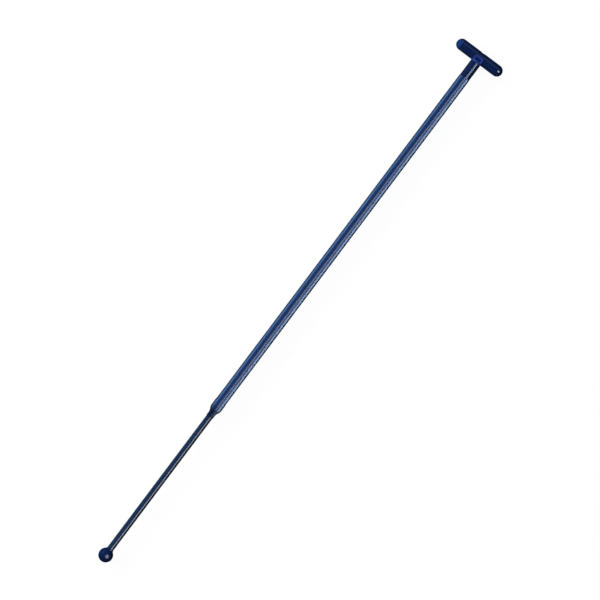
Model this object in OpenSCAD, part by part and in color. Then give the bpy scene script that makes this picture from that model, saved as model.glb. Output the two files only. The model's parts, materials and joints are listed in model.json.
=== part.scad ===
// Telescopic boat pole with a T-grip and a ball tip.
// The pole lies along X with the grip at +X and the ball at -X. The grip's cross bar lies along Y,
// and the ball touches z = 0. The inner rod slides in the outer tube and a twist locks it: the rod
// turns a spindle, whose thread pulls a cone nut into a split sleeve.

/* [Outer tube] */
// Outside diameter of the outer tube
tube_d = 25; // [20:0.5:34]
// Wall of the outer tube
tube_wall = 1.5; // [1.2:0.1:2]
// Length of the outer tube between the nose and the neck
tube_len = 868; // [700:1:1100]

/* [Inner rod] */
// Outside diameter of the inner rod
rod_d = 15; // [12:0.5:18]
// Wall of the inner rod
rod_wall = 1.25; // [1:0.05:2]
// Distance from the nose's mouth to the ball's centre
rod_show = 372; // [300:1:420]
// Length of rod from the nose's mouth into the outer tube
rod_inside = 355; // [330:1:370]

/* [Nose] */
// How far the nose's widest part stands out from the tube, on each side
bulge_step = 0.6; // [0.2:0.1:1.5]
// Length over which the nose swells from the tube to its widest part
bulge_rise = 6; // [3:0.5:12]
// Length of the nose's widest part
bulge_len = 11; // [4:0.5:20]
// Length of the S-curve from the widest part to the mouth
ogee_len = 19; // [14:0.5:30]
// Length of the straight lip at the mouth
lip_len = 6; // [3:0.5:10]
// Wall of the lip at the mouth
lip_wall = 0.45; // [0.3:0.05:1.5]
// Length of the nose's spigot inside the tube
spigot_len = 30; // [20:1:50]
// How far the plain bush reaches into the nose past the tube's end
bush_seat = 12; // [6:1:16]
// Width of the wiper ring along the rod
wiper_len = 4; // [2:0.5:5]
// Depth of the wiper ring's groove outside the bush pocket
wiper_depth = 0.8; // [0.4:0.1:1.5]
// Length of the bumper inside the spigot
stop_len = 4; // [2:0.5:10]

/* [Ball tip] */
// Diameter of the ball
ball_d = 32; // [26:0.5:45]
// Radius of the fillet between the ball and its lip
ball_fillet = 4; // [2:0.5:8]
// Wall of the ball's lip round the rod
ball_lip_wall = 0.6; // [0.4:0.1:2]
// Diameter of the threaded stud in the ball
stud_d = 6; // [5:1:8]
// Length of the stud below the rod's end
stud_len = 10; // [6:0.5:12]
// Length of the stud's plug inside the rod
stud_plug_len = 20; // [12:1:40]
// Thickness of the O-ring under the rod's end
ball_seal_d = 1.4; // [1:0.1:2]

/* [T-grip] */
// Overall length of the cross bar with its domed ends
bar_len = 119; // [90:1:160]
// Diameter of the cross bar
bar_d = 25.8; // [25:0.1:36]
// Diameter of the blind bores in the cross bar's ends
bar_bore_d = 17; // [12:0.5:19]
// Depth of each blind bore
bar_bore_len = 24; // [16:1:30]
// Length of each end cap's spigot
cap_spigot_len = 14; // [8:0.5:16]
// Wall of the end caps
cap_wall = 2.4; // [1.6:0.1:4]
// Chamfer on both sides of the seam between the bar and a cap
seam_chamfer = 0.4; // [0.2:0.1:1]

/* [Neck] */
// Distance from the tube's end to the cross bar's axis
neck_len = 54.7; // [44:0.1:80]
// How far the neck is set in from the tube's surface, on each side
neck_step = 0.5; // [0.2:0.1:1.5]
// Length of the neck's spigot inside the tube
neck_spigot_len = 60; // [30:1:90]
// Wall of the neck's hollow spigot
neck_wall = 3; // [2:0.1:5]
// Length of solid neck below the bar's underside
neck_solid_len = 30; // [22:0.5:40]
// Thickness of the two O-rings on the spigot
neck_seal_d = 1.8; // [1.2:0.1:2.5]
// Distance between the two O-rings
neck_seal_pitch = 12; // [6:0.5:20]

/* [Saddle] */
// Overall width of the saddle's two plates along the cross bar
saddle_w = 22; // [20:0.5:26]
// How far the saddle's plates stand out from the cross bar
saddle_rim = 1.3; // [0.8:0.1:2.5]
// Thickness of the plates at the bottom of their recess
saddle_panel = 0.5; // [0.3:0.1:1.2]
// Width of the raised rim round the recess
saddle_rim_w = 4.6; // [3:0.1:6]
// Length of the recess along the pole
recess_len = 6; // [4:0.5:8]
// Corner radius of the saddle's outline
saddle_corner = 4.5; // [2:0.1:5]
// Corner radius of the recess
recess_corner = 1.5; // [0.5:0.1:2]
// How far the saddle reaches past the cross bar's axis
saddle_reach = 1; // [0:0.1:3]
// Wall of the saddle's collar round the neck's core
collar_wall = 1.6; // [1.2:0.1:2.5]
// Thickness of the collar at the bottom of the recess
collar_skin = 0.5; // [0.3:0.1:1]
// How far the collar reaches below the cross bar's underside
collar_drop = 1.7; // [0.5:0.1:4]

/* [Grip screw] */
// Nominal diameter of the grip screw
screw_d = 6; // [5:1:6]
// Length of the screw under its head
screw_len = 40; // [35:1:45]
// Diameter of the screw's head
head_d = 10; // [8:0.5:10]
// Height of the screw's head
head_h = 6; // [4:0.5:6]
// Hexagon socket across its corners
socket_d = 5.8; // [4:0.1:6]
// Depth of the hexagon socket
socket_h = 3; // [2:0.5:4]
// Depth of the counterbore below the cross bar's top
counterbore_h = 9; // [8.5:0.1:10]
// Thickness of the washer
washer_h = 1.2; // [0.8:0.1:2]
// Gap round the screw's head in the counterbore
head_gap = 1; // [0.5:0.1:1.5]
// How far the washer stands out past the screw's head
washer_rim = 0.5; // [0.2:0.1:0.8]
// Wall of the two brass inserts, in the neck and in the ball
insert_wall = 2; // [1.5:0.1:3]
// Depth of the neck's insert below its seat for the bar
insert_depth = 1; // [0.5:0.1:3]
// Length of the neck's brass insert
insert_len = 14; // [8:0.5:18]

/* [Twist lock] */
// Diameter of the threaded shank
shank_d = 8; // [6:0.5:9]
// Length of the spindle's plug inside the rod
plug_len = 32; // [24:1:50]
// Thickness of the spindle's shoulder
shoulder_len = 4; // [3:0.5:8]
// Length of the split sleeve
sleeve_len = 36; // [30:1:50]
// Length of the sleeve's uncut base
sleeve_base = 9; // [6:0.5:14]
// Wall of the sleeve's fingers at their tips
finger_wall = 2; // [1.5:0.1:3]
// Width of the slots between the fingers
slot_w = 2.4; // [1.5:0.1:4]
// Number of slots
slot_n = 4; // [3:1:6]
// Wall of the cone nut at its narrow end
cone_wall = 1.6; // [1.2:0.1:2.5]
// Length of the cone nut's taper
cone_len = 22; // [16:1:30]
// Length of the cone nut's straight end
cone_end = 4; // [2:0.5:8]
// Distance that the cone nut moves between locked and free
cone_travel = 1.5; // [1:0.1:3]
// Length of the end nut on the shank
end_nut_len = 6; // [4:0.5:10]
// Diameter of the cross pin
pin_d = 3; // [2:0.5:4]
// Width of the round groove in the fingers; the band in it is half as thick
band_groove = 1.6; // [1:0.1:2]

/* [Foam] */
// Length of the foam plug in the outer tube
float_len = 80; // [30:1:120]
// Length of the foam plug in the rod
rod_float_len = 200; // [60:1:300]

/* [Fits] */
// Radial clearance where a part slides or turns on another
slide_gap = 0.05; // [0.02:0.01:0.1]
// Radial clearance of parts that are bonded or pressed together
bond_gap = 0.02; // [0.01:0.01:0.05]
// Clearance between moving parts that don't touch
free_gap = 0.3; // [0.2:0.05:0.6]

/* [Hidden] */
$fn = 96;
hexagon = 6;
// How far a cutting shape runs past the face that it cuts
cut = 1;

// Radii
tube_r = tube_d / 2;
bore_r = tube_r - tube_wall;
rod_r = rod_d / 2;
rod_bore_r = rod_r - rod_wall;
spigot_r = bore_r - bond_gap;
plug_r = rod_bore_r - bond_gap;
neck_r = tube_r - neck_step;
ball_r = ball_d / 2;
bar_r = bar_d / 2;
bar_bore_r = bar_bore_d / 2;
screw_r = screw_d / 2;
stud_r = stud_d / 2;
shank_r = shank_d / 2;

// The nose: the bush and the spigot share the room between the rod and the tube's bore
bulge_r = tube_r + bulge_step;
bush_r = (rod_r + bore_r) / 2;
wiper_r = bush_r + wiper_depth;
mouth_r = rod_r + free_gap;
lip_r = mouth_r + lip_wall;
ogee_step = bulge_r - lip_r;
ogee_r = (ogee_len ^ 2 + ogee_step ^ 2) / (4 * ogee_step);
rise_r = (bulge_rise ^ 2 + bulge_step ^ 2) / (2 * bulge_step);
nose_len = bulge_rise + bulge_len + ogee_len + lip_len;

// Stations along X
pole_len = ball_r + rod_show + nose_len + tube_len + neck_len + bar_r;
ball_x = ball_r - pole_len / 2;
mouth_x = ball_x + rod_show;
tube_x0 = mouth_x + nose_len;
tube_x1 = tube_x0 + tube_len;
bar_x = tube_x1 + neck_len;
rod_end_x = mouth_x + rod_inside;
axis_z = ball_r;
pin_x = rod_end_x - plug_len / 2;

// The ball's lip, where a fillet of the ball and of the rod's collar meet
ball_lip_r = rod_r + ball_lip_wall;
fillet_r = ball_lip_r + ball_fillet;
fillet_x = sqrt((ball_r + ball_fillet) ^ 2 - fillet_r ^ 2);
ball_share = ball_r / (ball_r + ball_fillet);

// The twist lock, measured from the rod's inner end
shoulder_r = bore_r - free_gap;
sleeve_x = shoulder_len + slide_gap;
sleeve_r = bore_r - slide_gap;
taper_small = shank_r + cone_wall;
taper_big = sleeve_r - finger_wall;
taper_x = sleeve_x + sleeve_len - cone_len;
band_x = sleeve_x + sleeve_len - 2 * band_groove;
band_r = sleeve_r - band_groove / 2;
shank_len = taper_x + cone_len + cone_end + cone_travel + free_gap + end_nut_len;

// The cross bar, and the neck's core inside the saddle's collar
bar_straight = bar_len - bar_d;
core_r = neck_r - collar_wall;
collar_x = bar_x - bar_r - collar_drop;
counterbore_x = bar_x + bar_r - counterbore_h;
head_x = counterbore_x + washer_h;
insert_x = bar_x - bar_r - bond_gap - insert_depth;
neck_insert_r = screw_r + insert_wall;
ball_insert_r = stud_r + insert_wall;

// Draws its children, which stand on Z, along +X from a station on the pole's axis
module along(x) {
    translate([x, 0, axis_z]) rotate([0, 90, 0]) children();
}

// The same, with the children running towards the ball
module back_along(x) {
    translate([x, 0, axis_z]) rotate([0, -90, 0]) children();
}

module ring(outer, inner, len) {
    difference() {
        cylinder(r = outer, h = len);
        translate([0, 0, -cut]) cylinder(r = inner, h = len + 2 * cut);
    }
}

module o_ring(inner, thick) {
    rotate_extrude() translate([inner + thick / 2, 0]) circle(d = thick);
}

// A cylinder along the cross bar's axis
module bar_rod(r, len) {
    translate([bar_x, len / 2, axis_z]) rotate([90, 0, 0]) cylinder(r = r, h = len);
}

// Half of the nose's outside as a radius over the distance from the tube's end, all in tangent arcs
module nose_outline() {
    ogee_y = bulge_rise + bulge_len;
    middle_r = (bulge_r + lip_r) / 2;
    intersection() {
        square([bulge_r, bulge_rise]);
        translate([bulge_r - rise_r, bulge_rise]) circle(r = rise_r);
    }
    translate([0, bulge_rise]) square([bulge_r, bulge_len]);
    intersection() {
        translate([0, ogee_y]) square([bulge_r, ogee_len / 2]);
        translate([bulge_r - ogee_r, ogee_y]) circle(r = ogee_r);
    }
    difference() {
        translate([0, ogee_y + ogee_len / 2]) square([middle_r, ogee_len / 2]);
        translate([lip_r + ogee_r, ogee_y + ogee_len]) circle(r = ogee_r);
    }
    translate([0, ogee_y + ogee_len]) square([lip_r, lip_len]);
}

module outer_tube() {
    color([0.10, 0.22, 0.42]) along(tube_x0) ring(tube_r, bore_r, tube_len);
}

module nose_cone() {
    color([0.10, 0.22, 0.42]) back_along(tube_x0) rotate_extrude() difference() {
        union() {
            translate([0, -spigot_len]) square([spigot_r, spigot_len]);
            nose_outline();
        }
        translate([0, -spigot_len - cut]) square([bush_r + bond_gap, spigot_len + bush_seat + cut]);
        translate([0, bush_seat]) square([wiper_r, wiper_len]);
        translate([0, -cut]) square([mouth_r, nose_len + 2 * cut]);
    }
}

module nose_bush() {
    color([0.85, 0.85, 0.82]) along(tube_x0 - bush_seat)
        ring(bush_r, rod_r + slide_gap, spigot_len + bush_seat);
}

// Two soft lips with a round groove between them
module wiper_ring() {
    groove_r = wiper_len / 4;
    color([0.08, 0.08, 0.09]) back_along(tube_x0 - bush_seat) rotate_extrude() difference() {
        translate([rod_r + slide_gap, 0]) square([wiper_r - bond_gap - rod_r - slide_gap, wiper_len]);
        translate([rod_r + slide_gap, wiper_len / 2]) circle(r = groove_r);
    }
}

module stop_ring() {
    color([0.08, 0.08, 0.09]) along(tube_x0 + spigot_len)
        ring(bore_r - bond_gap, rod_r + free_gap, stop_len);
}

module float_plug() {
    color([0.80, 0.80, 0.76]) along(tube_x1 - neck_spigot_len - float_len)
        cylinder(r = bore_r - bond_gap, h = float_len);
}

// Place of an O-ring on the neck's spigot, as a distance into the tube
function neck_seal_at(i) = neck_seal_pitch * (i + 1);

module neck() {
    hollow_len = neck_spigot_len + neck_len - bar_r - neck_solid_len;
    color([0.03, 0.07, 0.16]) difference() {
        union() {
            back_along(tube_x1) cylinder(r = spigot_r, h = neck_spigot_len);
            along(tube_x1) cylinder(r = neck_r, h = collar_x - tube_x1);
            along(tube_x1) cylinder(r = core_r, h = neck_len);
        }
        bar_rod(bar_r + bond_gap, bar_len);
        along(tube_x1 - neck_spigot_len - cut) cylinder(r = spigot_r - neck_wall, h = hollow_len + cut);
        back_along(insert_x) cylinder(r = neck_insert_r + bond_gap, h = insert_len);
        back_along(bar_x) cylinder(r = screw_r + bond_gap, h = screw_len);
        for (i = [0, 1]) back_along(tube_x1 + neck_seal_d / 2 - neck_seal_at(i)) difference() {
            cylinder(r = bore_r + cut, h = neck_seal_d);
            translate([0, 0, -cut]) cylinder(r = bore_r - neck_seal_d, h = neck_seal_d + 2 * cut);
        }
    }
}

module neck_seals() {
    color([0.08, 0.08, 0.09]) for (i = [0, 1]) back_along(tube_x1 - neck_seal_at(i))
        o_ring(bore_r - neck_seal_d + bond_gap, neck_seal_d - 2 * bond_gap);
}

module neck_insert() {
    color([0.80, 0.62, 0.30]) back_along(insert_x) ring(neck_insert_r, screw_r + bond_gap, insert_len);
}

// A rectangle with round corners, from one distance past the cross bar's axis back to another
module round_plate(from_x, to_x, width, corner) {
    translate([from_x, corner - width / 2]) square([to_x - from_x, width - 2 * corner]);
    translate([from_x + corner, -width / 2]) square([to_x - from_x - 2 * corner, width]);
    for (x = [from_x + corner, to_x - corner], side = [-1, 1])
        translate([x, side * (width / 2 - corner)]) circle(r = corner);
}

// Two plates wrap the cross bar, and a collar joins them round the neck's core
module grip_saddle() {
    rim_r = bar_r + saddle_rim;
    recess_top = saddle_reach - saddle_rim_w;
    color([0.10, 0.16, 0.42]) difference() {
        union() {
            intersection() {
                bar_rod(rim_r, saddle_w);
                translate([bar_x, 0, axis_z - rim_r]) linear_extrude(height = 2 * rim_r)
                    round_plate(-rim_r - saddle_corner, saddle_reach, saddle_w, saddle_corner);
            }
            along(collar_x) cylinder(r = neck_r, h = bar_x - collar_x);
        }
        bar_rod(bar_r + bond_gap, bar_len);
        along(collar_x - cut) cylinder(r = core_r + bond_gap, h = bar_x - collar_x + cut);
        difference() {
            translate([bar_x, 0, axis_z - rim_r - cut]) linear_extrude(height = 2 * (rim_r + cut))
                round_plate(recess_top - recess_len, recess_top, saddle_w - 2 * saddle_rim_w, recess_corner);
            bar_rod(bar_r + saddle_panel, saddle_w);
            along(collar_x) cylinder(r = core_r + collar_skin, h = bar_x - collar_x);
        }
    }
}

module grip_bar() {
    bore_y = bar_straight / 2 - bar_bore_len;
    color([0.03, 0.07, 0.16]) difference() {
        translate([bar_x, bar_straight / 2, axis_z]) rotate([90, 0, 0]) rotate_extrude() polygon([
            [0, 0], [bar_r - seam_chamfer, 0], [bar_r, seam_chamfer],
            [bar_r, bar_straight - seam_chamfer], [bar_r - seam_chamfer, bar_straight], [0, bar_straight]
        ]);
        for (turn = [0, 180]) translate([bar_x, 0, axis_z]) rotate([0, 0, turn]) translate([0, bore_y, 0])
            rotate([-90, 0, 0]) cylinder(r = bar_bore_r, h = bar_bore_len + cut);
        back_along(bar_x + bar_r + cut) cylinder(r = screw_r + free_gap, h = bar_d + 2 * cut);
        along(counterbore_x) cylinder(r = head_d / 2 + head_gap, h = counterbore_h + cut);
    }
}

// One domed cap on the +Y end; side is 1 there and -1 on the other end
module grip_cap(side) {
    color([0.03, 0.07, 0.16]) translate([bar_x, side * bar_straight / 2, axis_z]) rotate([-90 * side, 0, 0])
        rotate_extrude() difference() {
            union() {
                intersection() {
                    circle(r = bar_r);
                    square([bar_r, bar_r]);
                }
                translate([0, -cap_spigot_len]) square([bar_bore_r - bond_gap, cap_spigot_len]);
            }
            polygon([[bar_r - seam_chamfer, -cut], [bar_r - seam_chamfer, 0],
                [bar_r + cut, seam_chamfer + cut], [bar_r + cut, -cut]]);
            translate([0, -cap_spigot_len - cut])
                square([bar_bore_r - cap_wall, cap_spigot_len + cut]);
            intersection() {
                circle(r = bar_bore_r - cap_wall);
                translate([0, -cut]) square([bar_r, bar_r + cut]);
            }
        }
}

module grip_cap_left() {
    grip_cap(1);
}

module grip_cap_right() {
    grip_cap(-1);
}

module grip_screw() {
    color([0.70, 0.72, 0.75]) difference() {
        union() {
            back_along(head_x + cut) cylinder(r = screw_r, h = screw_len + cut);
            along(head_x) cylinder(d = head_d, h = head_h);
        }
        along(head_x + head_h - socket_h) cylinder(d = socket_d, h = socket_h + cut, $fn = hexagon);
    }
}

module grip_washer() {
    color([0.70, 0.72, 0.75]) along(counterbore_x)
        ring(head_d / 2 + washer_rim, screw_r + bond_gap, washer_h);
}

// The inner rod runs from its seat in the ball to its inner end
module inner_tube() {
    color([0.03, 0.07, 0.16]) difference() {
        along(ball_x) ring(rod_r, rod_bore_r, rod_end_x - ball_x);
        translate([pin_x, 0, axis_z - rod_r - cut]) cylinder(r = pin_d / 2 + bond_gap, h = rod_d + 2 * cut);
    }
}

module spindle() {
    color([0.70, 0.72, 0.75]) difference() {
        union() {
            back_along(rod_end_x) cylinder(r = plug_r, h = plug_len);
            along(rod_end_x) cylinder(r = shoulder_r, h = shoulder_len);
            along(rod_end_x) cylinder(r = shank_r, h = shank_len);
        }
        translate([pin_x, 0, axis_z - rod_r - cut]) cylinder(r = pin_d / 2 + bond_gap, h = rod_d + 2 * cut);
    }
}

module spindle_pin() {
    pin_len = rod_d - 2 * free_gap;
    color([0.70, 0.72, 0.75]) translate([pin_x, 0, axis_z - pin_len / 2])
        cylinder(d = pin_d, h = pin_len);
}

module spindle_stop() {
    color([0.70, 0.72, 0.75]) along(rod_end_x + shank_len - end_nut_len)
        ring(taper_big - cone_wall, shank_r + bond_gap, end_nut_len);
}

module rod_float() {
    color([0.80, 0.80, 0.76]) along(ball_x + stud_plug_len) cylinder(r = plug_r, h = rod_float_len);
}

// The lip, its fillet and the ball are one moulding with a stepped bore
module ball_tip() {
    seat = ball_seal_d;
    color([0.03, 0.07, 0.16]) along(ball_x) rotate_extrude() difference() {
        union() {
            intersection() {
                circle(r = ball_r);
                translate([0, -ball_r]) square([ball_r, ball_d]);
            }
            difference() {
                polygon([[0, 0], [fillet_r * ball_share, fillet_x * ball_share],
                    [fillet_r, fillet_x], [0, fillet_x]]);
                translate([fillet_r, fillet_x]) circle(r = ball_fillet);
            }
        }
        translate([0, -seat]) square([rod_r + bond_gap, fillet_x + seat + cut]);
        translate([0, -seat - stud_len]) square([ball_insert_r + bond_gap, stud_len + cut]);
    }
}

module ball_stud() {
    color([0.70, 0.72, 0.75]) {
        along(ball_x) cylinder(r = plug_r, h = stud_plug_len);
        back_along(ball_x) cylinder(r = stud_r, h = stud_len);
    }
}

module ball_insert() {
    color([0.80, 0.62, 0.30]) back_along(ball_x - ball_seal_d)
        ring(ball_insert_r, stud_r + bond_gap, stud_len);
}

module ball_seal() {
    color([0.08, 0.08, 0.09]) back_along(ball_x - ball_seal_d / 2)
        o_ring(rod_r - ball_seal_d, ball_seal_d);
}

// The sleeve's taper is wider than the cone nut's by the running clearance
module expander_sleeve() {
    color([0.85, 0.85, 0.82]) along(rod_end_x) difference() {
        rotate_extrude() difference() {
            translate([0, sleeve_x]) square([sleeve_r, sleeve_len]);
            translate([0, sleeve_x - cut]) square([shank_r + slide_gap, sleeve_len + 2 * cut]);
            translate([0, sleeve_x + sleeve_base]) square([taper_small + free_gap, sleeve_len]);
            polygon([[0, taper_x], [taper_small + slide_gap, taper_x],
                [taper_big + slide_gap, taper_x + cone_len],
                [taper_big + slide_gap, taper_x + cone_len + cut], [0, taper_x + cone_len + cut]]);
            translate([sleeve_r, band_x]) circle(d = band_groove);
        }
        for (i = [0 : slot_n - 1]) rotate([0, 0, i * 360 / slot_n])
            translate([0, -slot_w / 2, sleeve_x + sleeve_base]) cube([sleeve_r + cut, slot_w, sleeve_len]);
    }
}

module expander_band() {
    color([0.08, 0.08, 0.09]) along(rod_end_x + band_x) o_ring(band_r, sleeve_r - band_r);
}

// The cone nut has a key that rides in one slot of the sleeve
module cone_nut() {
    key_w = slot_w - 2 * free_gap;
    key_r = band_r - free_gap;
    color([0.80, 0.62, 0.30]) along(rod_end_x) difference() {
        union() {
            rotate_extrude() polygon([[0, taper_x], [taper_small, taper_x], [taper_big, taper_x + cone_len],
                [taper_big, taper_x + cone_len + cone_end], [0, taper_x + cone_len + cone_end]]);
            translate([0, -key_w / 2, taper_x + cone_len / 2])
                cube([key_r, key_w, cone_len / 2 + cone_end]);
        }
        translate([0, 0, taper_x - cut]) cylinder(r = shank_r + slide_gap, h = cone_len + cone_end + 2 * cut);
    }
}

outer_tube();
nose_cone();
nose_bush();
wiper_ring();
stop_ring();
float_plug();
neck();
neck_seals();
neck_insert();
grip_saddle();
grip_bar();
grip_cap_left();
grip_cap_right();
grip_screw();
grip_washer();
inner_tube();
spindle();
spindle_pin();
spindle_stop();
rod_float();
ball_tip();
ball_stud();
ball_insert();
ball_seal();
expander_sleeve();
expander_band();
cone_nut();
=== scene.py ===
import bpy
import bmesh
import json
from math import asin, cos, pi, radians, sin, sqrt
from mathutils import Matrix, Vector


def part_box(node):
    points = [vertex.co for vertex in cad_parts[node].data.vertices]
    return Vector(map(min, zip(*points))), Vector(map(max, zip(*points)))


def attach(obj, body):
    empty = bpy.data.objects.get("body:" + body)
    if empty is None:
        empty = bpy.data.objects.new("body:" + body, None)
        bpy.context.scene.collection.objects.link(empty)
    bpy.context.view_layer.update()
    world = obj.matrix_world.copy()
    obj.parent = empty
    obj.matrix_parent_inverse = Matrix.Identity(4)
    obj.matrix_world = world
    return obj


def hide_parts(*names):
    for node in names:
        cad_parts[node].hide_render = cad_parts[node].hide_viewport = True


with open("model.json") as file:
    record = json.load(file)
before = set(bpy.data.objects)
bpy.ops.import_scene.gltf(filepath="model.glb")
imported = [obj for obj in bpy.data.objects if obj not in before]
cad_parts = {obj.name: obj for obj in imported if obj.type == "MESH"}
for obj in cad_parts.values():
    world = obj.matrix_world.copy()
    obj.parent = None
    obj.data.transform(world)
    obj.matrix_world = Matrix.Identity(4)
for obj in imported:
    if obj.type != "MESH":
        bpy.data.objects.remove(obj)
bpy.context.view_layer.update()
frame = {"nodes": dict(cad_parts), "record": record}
nodes = frame["nodes"]
scene = bpy.context.scene
mm = 0.001


def lowOf(node):
    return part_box(node)[0]


def highOf(node):
    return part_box(node)[1]


# places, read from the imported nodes
poleZ = (lowOf("outer_tube").z + highOf("outer_tube").z) / 2
tubeStart, tubeEnd = lowOf("outer_tube").x, highOf("outer_tube").x
tubeR = highOf("outer_tube").y
barX = (lowOf("grip_bar").x + highOf("grip_bar").x) / 2
barR = highOf("grip_bar").z - poleZ
barEnd = highOf("grip_bar").y
neckR = highOf("neck").y
mouthX = lowOf("nose_cone").x
ballR = highOf("ball_tip").y
ballX = lowOf("ball_tip").x + ballR
rodR = highOf("inner_tube").y
rodEnd = highOf("inner_tube").x
print("frame loaded:", len(nodes), "nodes")


def newMaterial(name):
    material = bpy.data.materials.new(name)
    material.use_nodes = True
    tree = material.node_tree
    return material, tree, tree.nodes["Principled BSDF"]


def objectCoordinates(tree, scale):
    coordinates = tree.nodes.new("ShaderNodeTexCoord")
    mapping = tree.nodes.new("ShaderNodeMapping")
    mapping.inputs["Scale"].default_value = scale
    tree.links.new(coordinates.outputs["Object"], mapping.inputs["Vector"])
    return mapping.outputs["Vector"]


def noise(tree, scale, detail=3.0):
    node = tree.nodes.new("ShaderNodeTexNoise")
    node.inputs["Scale"].default_value = 1
    node.inputs["Detail"].default_value = detail
    tree.links.new(objectCoordinates(tree, scale), node.inputs["Vector"])
    return node.outputs["Fac"]


def spread(tree, value, low, high, fromLow=0.3, fromHigh=0.7):
    node = tree.nodes.new("ShaderNodeMapRange")
    node.interpolation_type = "SMOOTHSTEP"
    node.inputs["From Min"].default_value = fromLow
    node.inputs["From Max"].default_value = fromHigh
    node.inputs["To Min"].default_value = low
    node.inputs["To Max"].default_value = high
    tree.links.new(value, node.inputs["Value"])
    return node.outputs["Result"]


def mixColours(tree, share, first, second):
    node = tree.nodes.new("ShaderNodeMix")
    node.data_type = "RGBA"
    # sockets 0, 6 and 7 are the colour kind's factor, A and B
    for socket, value in ((node.inputs[6], first), (node.inputs[7], second)):
        if isinstance(value, tuple):
            socket.default_value = (*value, 1)
        else:
            tree.links.new(value, socket)
    tree.links.new(share, node.inputs[0])
    return node.outputs[2]


def ramp(tree, value, stops):
    node = tree.nodes.new("ShaderNodeValToRGB")
    elements = node.color_ramp.elements
    while len(elements) < len(stops):
        elements.new(0.5)
    for element, (place, colour) in zip(elements, stops):
        element.position = place
        element.color = (*colour, 1)
    tree.links.new(value, node.inputs[0])
    return node.outputs[0]


def facing(tree):
    node = tree.nodes.new("ShaderNodeLayerWeight")
    node.inputs["Blend"].default_value = 0.5
    return node.outputs["Facing"]


def alongPole(tree, start, end):
    parts = tree.nodes.new("ShaderNodeSeparateXYZ")
    tree.links.new(objectCoordinates(tree, (1, 1, 1)), parts.inputs[0])
    return spread(tree, parts.outputs[0], 0, 1, start, end)


def bump(tree, shader, height, distance):
    node = tree.nodes.new("ShaderNodeBump")
    node.inputs["Distance"].default_value = distance
    tree.links.new(height, node.inputs["Height"])
    tree.links.new(node.outputs["Normal"], shader.inputs["Normal"])


def makePaintedLight(name, look):
    material, tree, shader = newMaterial(name)
    streaks = noise(tree, look["streakScale"], detail=4)
    clouds = noise(tree, look["cloudScale"], detail=2)
    # painted light and shade: the base colour follows the angle at which the surface is seen
    body = ramp(tree, facing(tree), look["stops"])
    colour = mixColours(tree, spread(tree, clouds, 0, look["cloudShare"]), body, look["cloud"])
    # towards the mouth the painted bands fade to a plain dark navy
    if "fade" in look:
        start, end = look["fade"]
        share = alongPole(tree, start, end)
        colour = mixColours(tree, share, look["fadeColour"], colour)
        # the shine comes back before the colour does
        shine = spread(tree, share, look["fadeShine"], look["shine"], 0, look["shineBack"])
        tree.links.new(shine, shader.inputs["Specular IOR Level"])
    tree.links.new(colour, shader.inputs["Base Color"])
    tree.links.new(spread(tree, streaks, look["smooth"], look["rough"]), shader.inputs["Roughness"])
    bump(tree, shader, streaks, look["streakHeight"])
    return material


def makePlain(name, look):
    material, tree, shader = newMaterial(name)
    clouds = noise(tree, look["cloudScale"], detail=2)
    grain = noise(tree, look["grainScale"])
    tree.links.new(mixColours(tree, spread(tree, clouds, 0, 1), look["dark"], look["light"]),
                   shader.inputs["Base Color"])
    tree.links.new(spread(tree, grain, look["smooth"], look["rough"]), shader.inputs["Roughness"])
    bump(tree, shader, grain, look["grainHeight"])
    shader.inputs["Metallic"].default_value = look.get("metal", 0)
    return material


tubeLook = {
    # painted light: colour by the angle the surface is seen at, from face-on to edge-on, with a painted
    # bright band down each side
    "stops": [(0.0, (0.025, 0.072, 0.260)), (0.10, (0.011, 0.064, 0.280)), (0.18, (0.045, 0.170, 0.500)),
              (0.27, (0.125, 0.330, 0.720)), (0.36, (0.085, 0.210, 0.500)), (0.48, (0.040, 0.095, 0.225)),
              (1.0, (0.030, 0.070, 0.170))],
    "cloud": (0.030, 0.100, 0.300), "cloudShare": 0.25, "cloudScale": (5, 40, 40),
    "streakScale": (5, 1100, 1100), "streakHeight": 0.000004, "smooth": 0.21, "rough": 0.28,
}
noseLook = dict(tubeLook, fade=(mouthX + 12 * mm, mouthX + 34 * mm), fadeColour=(0.009, 0.028, 0.105),
                fadeShine=0.12, shine=0.5, shineBack=0.6)
gripLook = {"dark": (0.009, 0.033, 0.155), "light": (0.013, 0.048, 0.215), "smooth": 0.09, "rough": 0.14,
            "cloudScale": (45, 45, 45), "grainScale": (700, 700, 700), "grainHeight": 0.000005}
rodLook = dict(gripLook, dark=(0.020, 0.061, 0.174), light=(0.028, 0.078, 0.218),
               cloudScale=(8, 60, 60), grainScale=(30, 800, 800))
neckLook = dict(gripLook, dark=(0.010, 0.036, 0.150), light=(0.013, 0.045, 0.185))
# painted light: a lighter blue than the right cap's navy, with painted shade darkening it where it is seen
# edge-on
capLook = {
    "stops": [(0.0, (0.022, 0.100, 0.470)), (0.25, (0.020, 0.088, 0.420)), (0.55, (0.008, 0.046, 0.260)),
              (1.0, (0.003, 0.018, 0.140))],
    "cloud": (0.008, 0.040, 0.240), "cloudShare": 0.3, "cloudScale": (45, 45, 45),
    "streakScale": (700, 700, 700), "streakHeight": 0.000005, "smooth": 0.09, "rough": 0.14,
}
ballLook = dict(gripLook, dark=(0.004, 0.026, 0.150), light=(0.006, 0.034, 0.190), smooth=0.22, rough=0.28)
saddleLook = dict(gripLook, dark=(0.048, 0.112, 0.580), light=(0.058, 0.135, 0.680), smooth=0.25, rough=0.32)
recessLook = dict(gripLook, dark=(0.006, 0.040, 0.250), light=(0.010, 0.052, 0.310))
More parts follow.
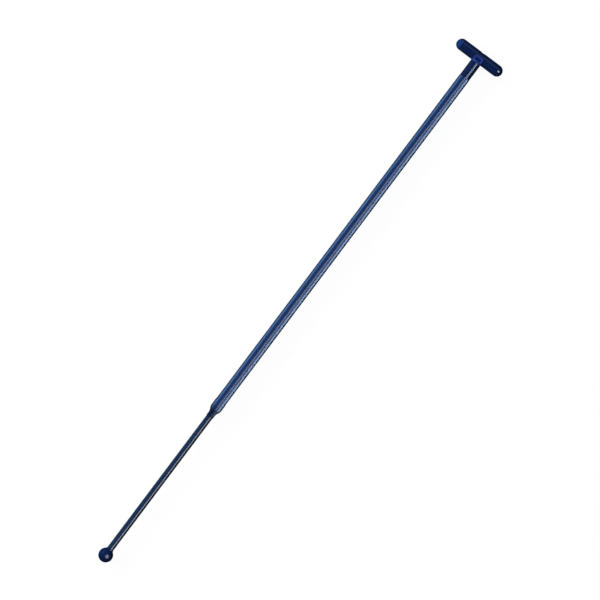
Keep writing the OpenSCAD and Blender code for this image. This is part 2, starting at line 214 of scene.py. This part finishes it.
plainLooks = {
    "acetal": {"dark": (0.72, 0.72, 0.69), "light": (0.80, 0.80, 0.77), "smooth": 0.40, "rough": 0.50,
               "cloudScale": (80, 80, 80), "grainScale": (300, 300, 300), "grainHeight": 0.000005},
    "rubber": {"dark": (0.012, 0.012, 0.013), "light": (0.022, 0.022, 0.023), "smooth": 0.55, "rough": 0.75,
               "cloudScale": (300, 300, 300), "grainScale": (900, 900, 900), "grainHeight": 0.00001},
    "brass": {"dark": (0.62, 0.44, 0.16), "light": (0.72, 0.53, 0.22), "smooth": 0.24, "rough": 0.34,
              "cloudScale": (90, 90, 90), "grainScale": (900, 60, 60), "grainHeight": 0.000006, "metal": 1},
    "steel": {"dark": (0.50, 0.51, 0.53), "light": (0.60, 0.61, 0.62), "smooth": 0.22, "rough": 0.34,
              "cloudScale": (90, 90, 90), "grainScale": (900, 60, 60), "grainHeight": 0.000006, "metal": 1},
    "foam": {"dark": (0.62, 0.62, 0.58), "light": (0.78, 0.78, 0.74), "smooth": 0.80, "rough": 0.95,
             "cloudScale": (60, 60, 60), "grainScale": (500, 500, 500), "grainHeight": 0.00008},
}
tubePaintedLight = makePaintedLight("blueTubePaintedBands", tubeLook)
nosePaintedLight = makePaintedLight("blueNosePaintedBands", noseLook)
rodNavy = makePlain("glossNavyRod", rodLook)
neckNavy = makePlain("glossNavyNeck", neckLook)
gripNavy = makePlain("glossNavyGrip", gripLook)
capPaintedLight = makePaintedLight("glossBlueCapPaintedLight", capLook)
ballNavy = makePlain("glossNavyBall", ballLook)
saddleBlue = makePlain("glossBlueSaddle", saddleLook)
recessNavy = makePlain("glossNavyRecess", recessLook)
slotMaterials = {name: makePlain(name, look) for name, look in plainLooks.items()}
slotMaterials.update({"tube_blue": tubePaintedLight, "rod_navy": rodNavy, "grip_navy": gripNavy,
                      "saddle_blue": saddleBlue, "ball_navy": ballNavy})


def dress(piece, material):
    if not piece.material_slots:
        piece.data.materials.append(None)
    for slot in piece.material_slots:
        slot.link = "OBJECT"
        slot.material = material


for subpart in frame["record"]["subparts"]:
    dress(nodes[subpart["node"]], slotMaterials[subpart["material_slot"]])
bodyOf = {}
for body, members in frame["record"]["behaviour"]["bodies"].items():
    for member in members:
        bodyOf[member] = body
print("materials set on the packed nodes")


turnTo = {"X": (0, pi / 2, 0), "Y": (-pi / 2, 0, 0), "Z": (0, 0, 0)}
axisVector = {"X": Vector((1, 0, 0)), "Y": Vector((0, 1, 0)), "Z": Vector((0, 0, 1))}
onPole = Vector((0, 0, poleZ))
onBar = Vector((barX, 0, poleZ))
mergeDistance = 0.002 * mm


def clearSelection():
    if bpy.context.object and bpy.context.object.mode != "OBJECT":
        bpy.ops.object.mode_set(mode="OBJECT")
    bpy.ops.object.select_all(action="DESELECT")


def selectOnly(piece):
    clearSelection()
    piece.select_set(True)
    bpy.context.view_layer.objects.active = piece


def turned(name, axis, origin, stations, sides=128, closed=False):
    # a circle is extruded and resized from station to station: (distance along the axis, radius);
    # the ends are filled when closed, and otherwise the last station meets the first
    clearSelection()
    direction = axisVector[axis]
    place, radius = stations[0]
    bpy.ops.mesh.primitive_circle_add(
        vertices=sides, radius=radius, fill_type="NOTHING",
        location=origin + direction * place, rotation=turnTo[axis])
    piece = bpy.context.object
    piece.name = name
    bpy.ops.object.transform_apply(location=True, rotation=True, scale=True)
    bpy.ops.object.mode_set(mode="EDIT")
    bpy.ops.mesh.select_all(action="SELECT")
    if closed:
        # with a ring inside the first end, its outer ring can be selected without the filled face
        innerR = radius / 2
        bpy.ops.mesh.edge_face_add()
        bpy.ops.mesh.inset(thickness=radius - innerR)
        bpy.ops.mesh.select_all(action="DESELECT")
        mesh = bmesh.from_edit_mesh(piece.data)
        for vertex in mesh.verts:
            away = vertex.co - origin - direction * place
            vertex.select_set(away.length > (innerR + radius) / 2)
        mesh.select_flush_mode()
        bmesh.update_edit_mesh(piece.data)
        bpy.ops.mesh.select_mode(type="VERT")
    for nextPlace, nextRadius in stations[1:]:
        bpy.ops.mesh.extrude_edges_move(
            TRANSFORM_OT_translate={"value": direction * (nextPlace - place)})
        if nextRadius != radius:
            ratio = nextRadius / radius
            scale = [1 if direction[i] else ratio for i in range(3)]
            bpy.ops.transform.resize(value=scale, center_override=origin + direction * nextPlace)
        place, radius = nextPlace, nextRadius
    if closed:
        bpy.ops.mesh.edge_face_add()
    bpy.ops.mesh.select_all(action="SELECT")
    bpy.ops.mesh.remove_doubles(threshold=mergeDistance)
    bpy.ops.mesh.normals_make_consistent(inside=False)
    bpy.ops.object.mode_set(mode="OBJECT")
    return piece


def smooth(piece, angle):
    selectOnly(piece)
    bpy.ops.object.shade_smooth_by_angle(angle=radians(angle))


def applyModifier(piece, modifier):
    selectOnly(piece)
    bpy.ops.object.modifier_apply(modifier=modifier.name)


def cleanMesh(slivers=False):
    # slivers go only from rounded pieces, because dissolving them after each cut spoils the neck
    bpy.ops.object.mode_set(mode="EDIT")
    bpy.ops.mesh.select_all(action="SELECT")
    bpy.ops.mesh.remove_doubles(threshold=mergeDistance)
    if slivers:
        bpy.ops.mesh.dissolve_degenerate(threshold=mergeDistance)
        bpy.ops.mesh.normals_make_consistent(inside=False)
    bpy.ops.object.mode_set(mode="OBJECT")


def combine(piece, other, operation):
    modifier = piece.modifiers.new(operation, "BOOLEAN")
    modifier.operation = operation
    modifier.object = other
    modifier.solver = "EXACT"
    applyModifier(piece, modifier)
    bpy.data.objects.remove(other)
    cleanMesh()


def roundEdges(piece, width, angle):
    modifier = piece.modifiers.new("rounding", "BEVEL")
    modifier.width = width
    modifier.segments = 2
    modifier.limit_method = "ANGLE"
    modifier.angle_limit = radians(angle)
    applyModifier(piece, modifier)
    cleanMesh(slivers=True)


def arc(place, radius, size, fromAngle, toAngle, count):
    # stations on an arc round a point; angles in degrees from the axis towards larger radius
    angles = [radians(fromAngle + (toAngle - fromAngle) * i / count) for i in range(count + 1)]
    return [(place + size * cos(a), radius + size * sin(a)) for a in angles]


def cylinder(axis, radius, length, middle, sides=128):
    # where one cuts right through, its length is a few times the size that it passes
    clearSelection()
    bpy.ops.mesh.primitive_cylinder_add(
        vertices=sides, radius=radius, depth=length, location=middle, rotation=turnTo[axis])
    bpy.ops.object.transform_apply(location=True, rotation=True, scale=True)
    return bpy.context.object


def finishPiece(piece, node, material, angle=32):
    smooth(piece, angle)
    clearSelection()
    dress(piece, material)
    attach(piece, bodyOf[node])
    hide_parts(node)


fit = {"bond": 0.02 * mm, "tubeWall": 1.5 * mm}
spigotR = tubeR - fit["tubeWall"] - fit["bond"]


def makeOuterTube(look):
    rim = look["rim"] * mm
    boreR = tubeR - fit["tubeWall"]
    stations = [(tubeStart, boreR + rim)]
    stations += arc(tubeStart + rim, tubeR - rim, rim, 180, 90, 4)
    stations += arc(tubeEnd - rim, tubeR - rim, rim, 90, 0, 4)
    stations += [(tubeEnd, boreR + rim), (tubeEnd - rim, boreR),
                 (tubeStart + rim, boreR), (tubeStart, boreR + rim)]
    finishPiece(turned("outerTube", "X", onPole, stations), "outer_tube", tubePaintedLight)


makeOuterTube({"rim": 0.25})
print("outer tube")


def makeNose(look):
    spigotEnd, bulgeR = highOf("nose_cone").x, highOf("nose_cone").y
    rise, lip, soft = look["rise"] * mm, look["lip"] * mm, look["soft"] * mm
    mouthR = rodR + look["gap"] * mm
    lipR = mouthR + look["lipWall"] * mm
    riseR = (rise ** 2 + (bulgeR - tubeR) ** 2) / (2 * (bulgeR - tubeR))
    curveStart, curveEnd = tubeStart - rise - look["flat"] * mm, mouthX + lip
    curveLen, curveStep = curveStart - curveEnd, bulgeR - lipR
    curveR = (curveLen ** 2 + curveStep ** 2) / (4 * curveStep)
    bushR = (rodR + tubeR - fit["tubeWall"]) / 2 + fit["bond"]
    bushX = tubeStart - look["bushSeat"] * mm
    wiperX, wiperR = bushX - look["wiper"] * mm, bushR + look["wiperDepth"] * mm
    stations = [(spigotEnd, bushR), (spigotEnd, spigotR - soft), (spigotEnd - soft, spigotR),
                (tubeStart, spigotR), (tubeStart, tubeR - soft)]
    # the swell, then both halves of the S-curve
    riseSteps, curveSteps = look["riseSteps"], look["curveSteps"]
    for i in range(riseSteps + 1):
        u = (rise - soft) * i / riseSteps
        stations.append((tubeStart - soft - u, bulgeR - riseR + sqrt(riseR ** 2 - (rise - soft - u) ** 2)))
    for i in range(curveSteps + 1):
        u = curveLen / 2 * i / curveSteps
        stations.append((curveStart - u, bulgeR - curveR + sqrt(curveR ** 2 - u ** 2)))
    for i in range(1, curveSteps + 1):
        u = curveLen / 2 * (1 - i / curveSteps)
        stations.append((curveEnd + u, lipR + curveR - sqrt(curveR ** 2 - u ** 2)))
    edge = (lipR - mouthR) / 2
    stations += arc(mouthX + edge, mouthR + edge, edge, 90, 270, 8)
    stations += [(wiperX, mouthR), (wiperX, wiperR), (bushX, wiperR), (bushX, bushR), (spigotEnd, bushR)]
    finishPiece(turned("noseCone", "X", onPole, stations), "nose_cone", nosePaintedLight)


makeNose({"rise": 6, "flat": 11, "lip": 6, "gap": 0.3, "lipWall": 0.45, "soft": 0.2,
          "bushSeat": 12, "wiper": 4, "wiperDepth": 0.8, "riseSteps": 6, "curveSteps": 12})
print("nose")


def makeRod(look):
    boreR, rim = rodR - look["wall"] * mm, look["rim"] * mm
    start = lowOf("inner_tube").x
    stations = [(start, boreR)]
    stations += arc(start + rim, rodR - rim, rim, 180, 90, 3)
    stations += arc(rodEnd - rim, rodR - rim, rim, 90, 0, 3)
    stations += [(rodEnd, boreR), (start, boreR)]
    rod = turned("slidingRod", "X", onPole, stations, sides=96)
    pinLow, pinHigh = lowOf("spindle_pin"), highOf("spindle_pin")
    hole = cylinder("Z", (pinHigh.x - pinLow.x) / 2 + fit["bond"], 4 * rodR, (pinLow + pinHigh) / 2, sides=48)
    combine(rod, hole, "DIFFERENCE")
    finishPiece(rod, "inner_tube", rodNavy)


makeRod({"wall": 1.25, "rim": 0.3})
print("rod")


gripLink = {"collarWall": 1.6 * mm, "collarDrop": 1.7 * mm}
coreR = neckR - gripLink["collarWall"]
collarX = barX - barR - gripLink["collarDrop"]


def makeNeck(look):
    start, rim = lowOf("neck").x, look["rim"] * mm
    seal = look["seal"] * mm
    stations = [(start, spigotR - rim), (start + rim, spigotR)]
    for i in (2, 1):
        middle = tubeEnd - look["sealPitch"] * mm * i
        grooveR = tubeR - fit["tubeWall"] - seal
        stations += [(middle - seal / 2, spigotR), (middle - seal / 2, grooveR),
                     (middle + seal / 2, grooveR), (middle + seal / 2, spigotR)]
    stations += [(tubeEnd, spigotR)]
    stations += arc(tubeEnd + rim, neckR - rim, rim, 180, 90, 4)
    stations += arc(collarX - rim / 2, neckR - rim / 2, rim / 2, 90, 0, 3)
    stations += [(collarX, coreR), (barX, coreR)]
    neck = turned("neckStem", "X", onPole, stations, closed=True)
    combine(neck, cylinder("Y", barR + fit["bond"], 4 * neckR, onBar), "DIFFERENCE")
    insertLow, insertHigh = lowOf("neck_insert"), highOf("neck_insert")
    hollowEnd = barX - barR - look["solid"] * mm
    bores = [(start - look["past"] * mm, hollowEnd, spigotR - look["spigotWall"] * mm),
             (insertLow.x, insertHigh.x, insertHigh.y + fit["bond"]),
             (lowOf("grip_screw").x, barX, look["screwR"] * mm + fit["bond"])]
    for boreStart, boreEnd, boreR in bores:
        middle = Vector(((boreStart + boreEnd) / 2, 0, poleZ))
        combine(neck, cylinder("X", boreR, boreEnd - boreStart, middle, sides=64), "DIFFERENCE")
    finishPiece(neck, "neck", neckNavy)


makeNeck({"rim": 0.5, "seal": 1.8, "sealPitch": 12, "solid": 30, "spigotWall": 3, "screwR": 3, "past": 1})
print("neck")


def roundColumn(fromX, toX, width, corner, height):
    # distances along X are from the cross bar's axis
    clearSelection()
    bpy.ops.mesh.primitive_cube_add(size=1, location=onBar + Vector(((fromX + toX) / 2, 0, 0)))
    block = bpy.context.object
    block.scale = (toX - fromX, width, height)
    bpy.ops.object.transform_apply(location=True, rotation=True, scale=True)
    bpy.ops.object.mode_set(mode="EDIT")
    bpy.ops.mesh.select_mode(type="EDGE")
    bpy.ops.mesh.select_all(action="DESELECT")
    mesh = bmesh.from_edit_mesh(block.data)
    for edge in mesh.edges:
        first, second = (vertex.co for vertex in edge.verts)
        edge.select_set(abs(first.z - second.z) > height / 2)
    bmesh.update_edit_mesh(block.data)
    bpy.ops.mesh.bevel(offset=corner, segments=10)
    bpy.ops.mesh.select_mode(type="VERT")
    bpy.ops.object.mode_set(mode="OBJECT")
    return block


def makeSaddle(look):
    rimR, width = barR + look["rim"] * mm, look["width"] * mm
    reach, recessTop = look["reach"] * mm, (look["reach"] - look["rimWidth"]) * mm
    collarLen = barX - collarX
    collarMiddle = onBar - Vector((collarLen / 2, 0, 0))
    tall = 3 * rimR
    saddle = cylinder("Y", rimR, width, onBar)
    plates = roundColumn(-2 * rimR, reach, width, look["corner"] * mm, tall)
    combine(saddle, plates, "INTERSECT")
    combine(saddle, cylinder("X", neckR, collarLen, collarMiddle), "UNION")
    recess = roundColumn(recessTop - look["recess"] * mm, recessTop, width - 2 * look["rimWidth"] * mm,
                         look["recessCorner"] * mm, tall)
    combine(recess, cylinder("Y", barR + look["panel"] * mm, width, onBar), "DIFFERENCE")
    combine(recess, cylinder("X", coreR + look["skin"] * mm, collarLen, collarMiddle), "DIFFERENCE")
    combine(saddle, recess, "DIFFERENCE")
    combine(saddle, cylinder("Y", barR + fit["bond"], 4 * width, onBar), "DIFFERENCE")
    combine(saddle, cylinder("X", coreR + fit["bond"], 3 * collarLen, collarMiddle), "DIFFERENCE")
    saddle.name = "gripSaddle"
    roundEdges(saddle, look["softness"] * mm, angle=35)
    finishPiece(saddle, "grip_saddle", saddleBlue, angle=40)
    # faces inside the recess's outline and below the rim take the darker material
    saddle.data.materials.append(None)
    saddle.material_slots[1].link = "OBJECT"
    saddle.material_slots[1].material = recessNavy
    for face in saddle.data.polygons:
        away = face.center - onBar
        belowRim = sqrt(away.x ** 2 + away.z ** 2) < rimR
        between = abs(away.y) < width / 2 - look["rimWidth"] * mm
        if belowRim and between and -look["recess"] * mm < away.x - recessTop < 0:
            face.material_index = 1


makeSaddle({"rim": 1.3, "panel": 0.5, "width": 22, "corner": 4.5, "reach": 1, "rimWidth": 4.6, "recess": 6,
            "recessCorner": 1.5, "skin": 0.5, "softness": 0.3})
print("saddle")


seam = {"bore": 8.5 * mm, "chamfer": 0.4 * mm}
# a dome stops just short of its axis, at this angle in degrees, and a small flat closes it
domeEnd = 89


def makeBar(look):
    bottom = barEnd - look["boreDepth"] * mm
    half = [(bottom, seam["bore"]), (barEnd, seam["bore"]), (barEnd, barR - seam["chamfer"]),
            (barEnd - seam["chamfer"], barR)]
    stations = [(-place, radius) for place, radius in half] + half[::-1]
    bar = turned("gripBar", "Y", onBar, stations, closed=True)
    depth = 2 * barR
    seat = lowOf("grip_washer").x
    pocket = cylinder("X", look["headR"] * mm, depth, Vector((seat + depth / 2, 0, poleZ)))
    combine(bar, pocket, "DIFFERENCE")
    combine(bar, cylinder("X", look["holeR"] * mm, 2 * depth, onBar, sides=48), "DIFFERENCE")
    roundEdges(bar, look["softness"] * mm, angle=50)
    finishPiece(bar, "grip_bar", gripNavy, angle=40)


def makeCap(node, name, side, material, look):
    plugR = seam["bore"] - fit["bond"]
    hollowR, plugEnd, chamfer = seam["bore"] - look["wall"] * mm, -look["spigot"] * mm, seam["chamfer"]
    # the hollow's dome and its straight part, the plug, the seam, then the outer dome
    stations = [(hollowR * sin(radians(a)), hollowR * cos(radians(a))) for a in look["hollowAngles"]]
    stations += [(plugEnd, hollowR), (plugEnd, plugR - chamfer), (plugEnd + chamfer, plugR), (0, plugR),
                 (0, barR - chamfer)]
    first, last, steps = asin(chamfer / barR), radians(domeEnd), look["domeSteps"]
    for i in range(steps + 1):
        angle = first + (last - first) * i / steps
        stations.append((barR * sin(angle), barR * cos(angle)))
    stations = [(side * (place + barEnd), radius) for place, radius in stations]
    finishPiece(turned(name, "Y", onBar, stations, closed=True), node, material, angle=35)


makeBar({"boreDepth": 24, "headR": 6, "holeR": 3.3, "softness": 0.15})
capShape = {"wall": 2.4, "spigot": 14, "domeSteps": 24, "hollowAngles": (88, 75, 60, 45, 30, 15, 0)}
# the left cap takes the lighter material with painted light, the right one the grip's plain navy
makeCap("grip_cap_left", "gripCapLeft", 1, capPaintedLight, capShape)
makeCap("grip_cap_right", "gripCapRight", -1, gripNavy, capShape)
print("cross bar and caps")


def makeBall(look):
    lipR, fillet = rodR + look["lipWall"] * mm, look["fillet"] * mm
    filletR = lipR + fillet
    filletX = sqrt((ballR + fillet) ** 2 - filletR ** 2)
    boreR, seat = rodR + fit["bond"], look["seal"] * mm
    insertR, pocket = highOf("ball_insert").y + fit["bond"], lowOf("ball_insert").x - ballX
    lipEdge = (lipR - boreR) / 2
    stations = [(pocket, insertR), (-seat, insertR), (-seat, boreR)]
    stations += arc(filletX - lipEdge, boreR + lipEdge, lipEdge, -90, 90, 6)
    # the fillet runs from the lip to where it touches the ball
    touch = asin(filletX / (ballR + fillet))
    filletSteps, ballSteps = look["filletSteps"], look["ballSteps"]
    for i in range(filletSteps + 1):
        angle = touch * i / filletSteps
        stations.append((filletX - fillet * sin(angle), filletR - fillet * cos(angle)))
    for i in range(1, ballSteps + 1):
        angle = touch - (touch + radians(domeEnd)) * i / ballSteps
        stations.append((ballR * sin(angle), ballR * cos(angle)))
    ball = turned("ballTip", "X", Vector((ballX, 0, poleZ)), stations, closed=True)
    finishPiece(ball, "ball_tip", ballNavy, angle=35)


makeBall({"lipWall": 0.6, "fillet": 4, "seal": 1.4, "filletSteps": 8, "ballSteps": 56})
print("ball")


def makeFloor(look):
    clearSelection()
    bpy.ops.mesh.primitive_plane_add(size=look["size"], location=(0, 0, 0))
    floor = bpy.context.object
    floor.name = "floor"
    material, tree, shader = newMaterial("paleFloor")
    clouds = noise(tree, (3, 3, 3), detail=2)
    tree.links.new(mixColours(tree, clouds, look["dark"], look["light"]), shader.inputs["Base Color"])
    shader.inputs["Roughness"].default_value = look["roughness"]
    shader.inputs["Specular IOR Level"].default_value = 0
    shader.inputs["Emission Color"].default_value = (1, 1, 1, 1)
    shader.inputs["Emission Strength"].default_value = look["glow"]
    floor.data.materials.append(material)
    floor.visible_glossy = False
    floor.visible_diffuse = False


makeFloor({"size": 14, "dark": (0.24, 0.24, 0.24), "light": (0.27, 0.27, 0.27), "roughness": 0.9,
           "glow": 0.93})


def makeWorld(look):
    world = bpy.data.worlds.new("studio")
    scene.world = world
    world.use_nodes = True
    tree = world.node_tree
    tree.nodes.clear()
    path = tree.nodes.new("ShaderNodeLightPath")
    parts = tree.nodes.new("ShaderNodeSeparateXYZ")
    tree.links.new(tree.nodes.new("ShaderNodeTexCoord").outputs["Generated"], parts.inputs[0])
    # soft light from above, a dim surround in reflections, a pale backdrop past the floor's edge
    soft, dim, backdrop = (tree.nodes.new("ShaderNodeBackground") for i in range(3))
    upward = parts.outputs[2]
    softStrength = spread(tree, upward, look["below"], look["above"], *look["softBand"])
    dimStrength = spread(tree, upward, look["dim"] / 2, look["dim"], *look["dimBand"])
    tree.links.new(softStrength, soft.inputs["Strength"])
    tree.links.new(dimStrength, dim.inputs["Strength"])
    backdrop.inputs["Color"].default_value = (*look["backdrop"], 1)
    reflected = tree.nodes.new("ShaderNodeMixShader")
    tree.links.new(path.outputs["Is Glossy Ray"], reflected.inputs[0])
    tree.links.new(soft.outputs[0], reflected.inputs[1])
    tree.links.new(dim.outputs[0], reflected.inputs[2])
    seen = tree.nodes.new("ShaderNodeMixShader")
    tree.links.new(path.outputs["Is Camera Ray"], seen.inputs[0])
    tree.links.new(reflected.outputs[0], seen.inputs[1])
    tree.links.new(backdrop.outputs[0], seen.inputs[2])
    output = tree.nodes.new("ShaderNodeOutputWorld")
    tree.links.new(seen.outputs[0], output.inputs["Surface"])


# each band is where a light grows from its low to its high strength, from -1 straight down to 1 straight up
makeWorld({"above": 0.28, "below": 0.08, "softBand": (-0.15, 0.5), "dim": 0.025, "dimBand": (-0.3, 0.3),
           "backdrop": (0.97, 0.97, 0.98)})


def makeLight(name, look):
    # the light's middle is seen from the target at an angle from +Z: towards -Y, or towards +X
    # for a strip that lies across the pole
    data = bpy.data.lights.new(name, "AREA")
    data.shape = look.get("shape", "RECTANGLE")
    angle, distance = radians(look["angle"]), look["distance"]
    width = 2 * distance * sin(radians(look["spread"]) / 2)
    data.size, data.size_y = look["length"], width
    area = look["length"] * width * (pi / 4 if data.shape == "ELLIPSE" else 1)
    data.energy = look["radiance"] * pi * area
    data.color = look.get("colour", (1, 1, 1))
    light = bpy.data.objects.new(name, data)
    scene.collection.objects.link(light)
    target = Vector((look.get("x", 0), look.get("y", 0), poleZ))
    light.location = target + distance * Vector((0, -sin(angle), cos(angle)))
    light.rotation_euler = (angle, 0, 0)
    if look.get("across"):
        light.location = target + distance * Vector((sin(angle), 0, cos(angle)))
        light.rotation_euler = (0, angle, 0)
        data.size, data.size_y = width, look["length"]
    light.visible_camera = False
    light.visible_diffuse = look["diffuse"]
    light.visible_glossy = look["glossy"]
    if "lights" in look:
        group = bpy.data.collections.new(name + "Receivers")
        for piece in look["lights"]:
            group.objects.link(bpy.data.objects[piece])
        light.light_linking.receiver_collection = group


# each highlight comes from a light of its own, linked to the pieces that show it
highlight = {"distance": 1.6, "diffuse": False, "glossy": True}
strip = dict(highlight, length=3.2)
coolStrip = dict(strip, colour=(0.68, 0.82, 1))
tubeStrip = dict(coolStrip, length=4.8, lights=["outerTube", "noseCone"])
spot = dict(highlight, shape="ELLIPSE")
makeLight("stripRod", dict(strip, angle=38, spread=36, radiance=5.2, lights=["slidingRod"]))
makeLight("stripNeck", dict(coolStrip, angle=36, spread=38, radiance=5.8, lights=["neckStem"]))
makeLight("stripTubeInner", dict(tubeStrip, angle=19, spread=28, radiance=4.6))
makeLight("stripTubeOuter", dict(tubeStrip, angle=75, spread=40, radiance=7.5))
makeLight("ballSpot", dict(spot, length=1.5, angle=33, spread=58, radiance=5, x=ballX, lights=["ballTip"]))
makeLight("capSpot", dict(spot, length=1.0, angle=37, spread=46, radiance=8, x=barX, y=-barEnd,
                          lights=["gripCapRight"]))
makeLight("barBand", dict(coolStrip, across=True, x=barX, length=2.4, angle=38, spread=22, radiance=0.55,
                          lights=["gripBar", "gripCapLeft", "gripCapRight"]))
makeLight("leftFill", {"length": 3.0, "distance": 2.0, "angle": -78, "spread": 40, "radiance": 2.2,
                       "diffuse": True, "glossy": False})


def makeCamera(look):
    data = bpy.data.cameras.new("camera")
    camera = bpy.data.objects.new("camera", data)
    scene.collection.objects.link(camera)
    scene.camera = camera
    data.lens = look["lens"]
    data.sensor_width = look["sensor"]
    data.clip_end = look["farthest"]
    distance = look["width"] * data.lens / data.sensor_width
    camera.location = (look["x"], look["y"], poleZ + distance)
    # straight down; the pole's +X leans to the right of up
    camera.rotation_euler = (0, 0, radians(look["lean"]) - pi / 2)


# lens and sensor in millimetres, places in metres; width is what the view spans at the pole's height
makeCamera({"lens": 135, "sensor": 36, "farthest": 100, "width": 1.2892, "x": 0.022, "y": -0.0046,
            "lean": 36.92})
scene.view_settings.view_transform = "Standard"
scene.view_settings.look = "None"
print("floor, light and camera")
